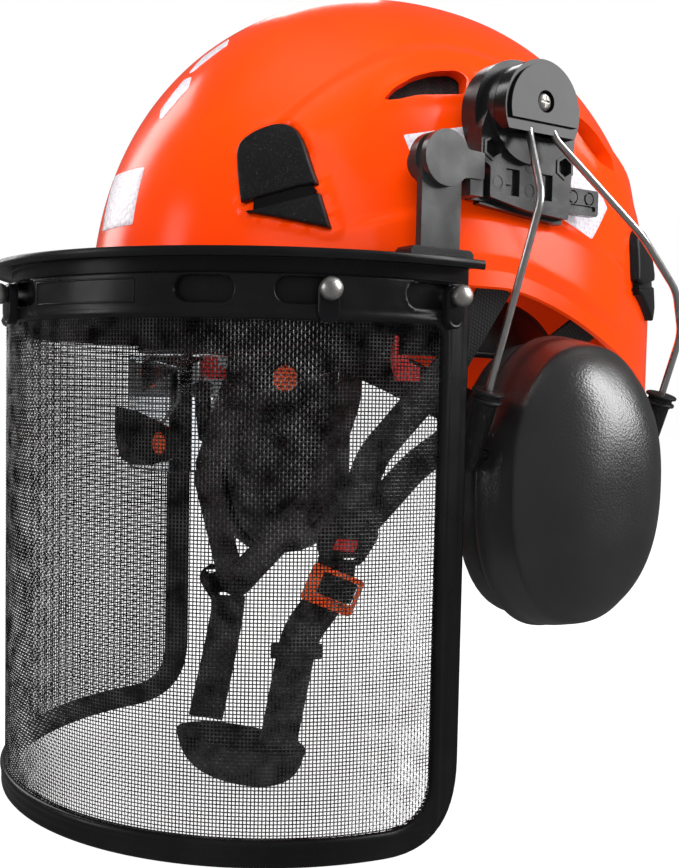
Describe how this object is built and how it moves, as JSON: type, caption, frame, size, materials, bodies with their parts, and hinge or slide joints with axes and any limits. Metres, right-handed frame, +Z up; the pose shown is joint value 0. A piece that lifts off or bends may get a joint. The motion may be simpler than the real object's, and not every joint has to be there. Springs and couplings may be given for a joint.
{
  "type": "safety helmet",
  "caption": "Hard hat with fold-up mesh visor, clear eye shield, swing-out ear muffs on wire forks, headband with size knob, and chin strap.",
  "frame": {"origin": "centre of the head at brow level, on the helmet's mid-plane", "axes": "+X to the wearer's left, -Y to the front, +Z up through the crown"},
  "size_m": [0.31, 0.3336, 0.3692],
  "materials": {
    "shell": "moulded, satin gloss",
    "clip": "fine grain",
    "visor_plastic": "satin",
    "mesh": "woven black-coated wire",
    "steel": "satin",
    "gloss_black": "polished mould",
    "bracket": "semi-gloss",
    "chrome_wire": "bright drawn wire",
    "cup": "leather grain",
    "cushion": "soft cover over foam",
    "foam": "open foam",
    "band": "satin",
    "webbing": "woven",
    "lens": "clear polycarbonate",
    "buckle": "semi-gloss",
    "rubber": "matt"
  },
  "bodies": {
    "helmet": {"shell": "shell", "lamp_clip_front_left": "clip", "lamp_clip_front_right": "clip", "lamp_clip_rear_left": "clip", "lamp_clip_rear_right": "clip", "muff_bracket_left": "bracket", "visor_carrier_left": "visor_plastic", "muff_bracket_right": "bracket", "visor_carrier_right": "visor_plastic", "headband": "band", "sweat_pad": "foam", "nape_pad": "foam", "crown_webbing": "webbing", "ratchet_housing": "band", "chin_webbing_left": "webbing", "chin_webbing_right": "webbing", "strap_divider_left": "band", "strap_divider_right": "band", "chin_strap_left": "webbing", "chin_strap_right": "webbing", "buckle_frame": "buckle", "chin_cup": "rubber"},
    "visor": {"visor_frame": "visor_plastic", "mesh_screen": "mesh", "brow_guard": "visor_plastic", "visor_arm_left": "visor_plastic", "visor_arm_right": "visor_plastic"},
    "turn_fastener_1": {"fastener_stud_1": "steel", "turn_button_1": "gloss_black"},
    "turn_fastener_2": {"fastener_stud_2": "steel", "turn_button_2": "gloss_black"},
    "turn_fastener_3": {"fastener_stud_3": "steel", "turn_button_3": "gloss_black"},
    "turn_fastener_4": {"fastener_stud_4": "steel", "turn_button_4": "gloss_black"},
    "turn_fastener_5": {"fastener_stud_5": "steel", "turn_button_5": "gloss_black"},
    "muff_turn_left": {"rotor_cap_left": "gloss_black", "rotor_screw_left": "steel"},
    "muff_fork_left": {"wire_fork_left": "chrome_wire"},
    "muff_sleeves_left": {"sleeve_front_left": "clip", "sleeve_rear_left": "clip"},
    "muff_cup_left": {"ear_cup_left": "cup", "ear_cushion_left": "cushion", "ear_foam_left": "foam"},
    "muff_turn_right": {"rotor_cap_right": "gloss_black", "rotor_screw_right": "steel"},
    "muff_fork_right": {"wire_fork_right": "chrome_wire"},
    "muff_sleeves_right": {"sleeve_front_right": "clip", "sleeve_rear_right": "clip"},
    "muff_cup_right": {"ear_cup_right": "cup", "ear_cushion_right": "cushion", "ear_foam_right": "foam"},
    "size_knob": {"ratchet_knob": "gloss_black"},
    "eye_shield": {"eye_lens": "lens", "eye_shield_arm_left": "gloss_black", "eye_shield_arm_right": "gloss_black", "eye_shield_tab": "gloss_black"},
    "buckle_catch": {"buckle_latch": "band"},
    "keeper": {"strap_keeper": "band"}
  },
  "joints": [
    {"name": "visor_tilt", "type": "hinge", "parent": "helmet", "child": "visor", "pos_m": [0, -0.059, 0.0635], "axis": [-1, 0, 0], "range_deg": [0, 75]},
    {"name": "fastener_1_turn", "type": "hinge", "parent": "visor", "child": "turn_fastener_1", "pos_m": [-0.12396, -0.05777, 0.011], "axis": [-0.9997, 0.0244, 0], "range_deg": [0, 90]},
    {"name": "fastener_2_turn", "type": "hinge", "parent": "visor", "child": "turn_fastener_2", "pos_m": [-0.11497, -0.10725, 0.011], "axis": [-0.9272, -0.3746, 0], "range_deg": [0, 90]},
    {"name": "fastener_3_turn", "type": "hinge", "parent": "visor", "child": "turn_fastener_3", "pos_m": [0, -0.1848, 0.011], "axis": [0, -1, 0], "range_deg": [0, 90]},
    {"name": "fastener_4_turn", "type": "hinge", "parent": "visor", "child": "turn_fastener_4", "pos_m": [0.11497, -0.10725, 0.011], "axis": [-0.9272, 0.3746, 0], "range_deg": [0, 90]},
    {"name": "fastener_5_turn", "type": "hinge", "parent": "visor", "child": "turn_fastener_5", "pos_m": [0.12396, -0.05777, 0.011], "axis": [-0.9997, -0.0244, 0], "range_deg": [0, 90]},
    {"name": "muff_turn_left", "type": "hinge", "parent": "helmet", "child": "muff_turn_left", "pos_m": [0.122, -0.017, 0.086], "axis": [1, 0, 0], "range_deg": [0, 3]},
    {"name": "muff_swing_out_left", "type": "hinge", "parent": "muff_turn_left", "child": "muff_fork_left", "pos_m": [0.126, -0.017, 0.0825], "axis": [0, -1, 0], "range_deg": [0, 25]},
    {"name": "muff_height_left", "type": "slide", "parent": "muff_fork_left", "child": "muff_sleeves_left", "axis": [-0.2869, -0.0574, -0.9562], "range_m": [-0.006, 0.016]},
    {"name": "cup_swivel_left", "type": "hinge", "parent": "muff_sleeves_left", "child": "muff_cup_left", "pos_m": [0.11925, 0.00805, -0.04982], "axis": [0.042, 0.9991, 0], "range_deg": [-5, 6]},
    {"name": "muff_turn_right", "type": "hinge", "parent": "helmet", "child": "muff_turn_right", "pos_m": [-0.122, -0.017, 0.086], "axis": [1, 0, 0], "range_deg": [0, 3]},
    {"name": "muff_swing_out_right", "type": "hinge", "parent": "muff_turn_right", "child": "muff_fork_right", "pos_m": [-0.126, -0.017, 0.0825], "axis": [0, 1, 0], "range_deg": [0, 25]},
    {"name": "muff_height_right", "type": "slide", "parent": "muff_fork_right", "child": "muff_sleeves_right", "axis": [0.2869, -0.0574, -0.9562], "range_m": [-0.006, 0.016]},
    {"name": "cup_swivel_right", "type": "hinge", "parent": "muff_sleeves_right", "child": "muff_cup_right", "pos_m": [-0.11925, 0.00805, -0.04982], "axis": [-0.042, 0.9991, 0], "range_deg": [-5, 6]},
    {"name": "size_knob_turn", "type": "hinge", "parent": "helmet", "child": "size_knob", "pos_m": [0, 0.1, -0.043], "axis": [0, 1, 0], "range_deg": [-360, 360]},
    {"name": "eye_shield_tilt", "type": "hinge", "parent": "helmet", "child": "eye_shield", "pos_m": [0, -0.05, -0.002], "axis": [-1, 0, 0], "range_deg": [0, 31]},
    {"name": "buckle_catch_press", "type": "slide", "parent": "helmet", "child": "buckle_catch", "axis": [-0.7845, 0.5883, -0.1961], "range_m": [0, 0.0008], "stiffness_N_per_m": 300, "springref_m": -0.001},
    {"name": "keeper_slide", "type": "slide", "parent": "helmet", "child": "keeper", "axis": [-0.225, -0.0563, -0.9727], "range_m": [0, 0.03]}
  ]
}
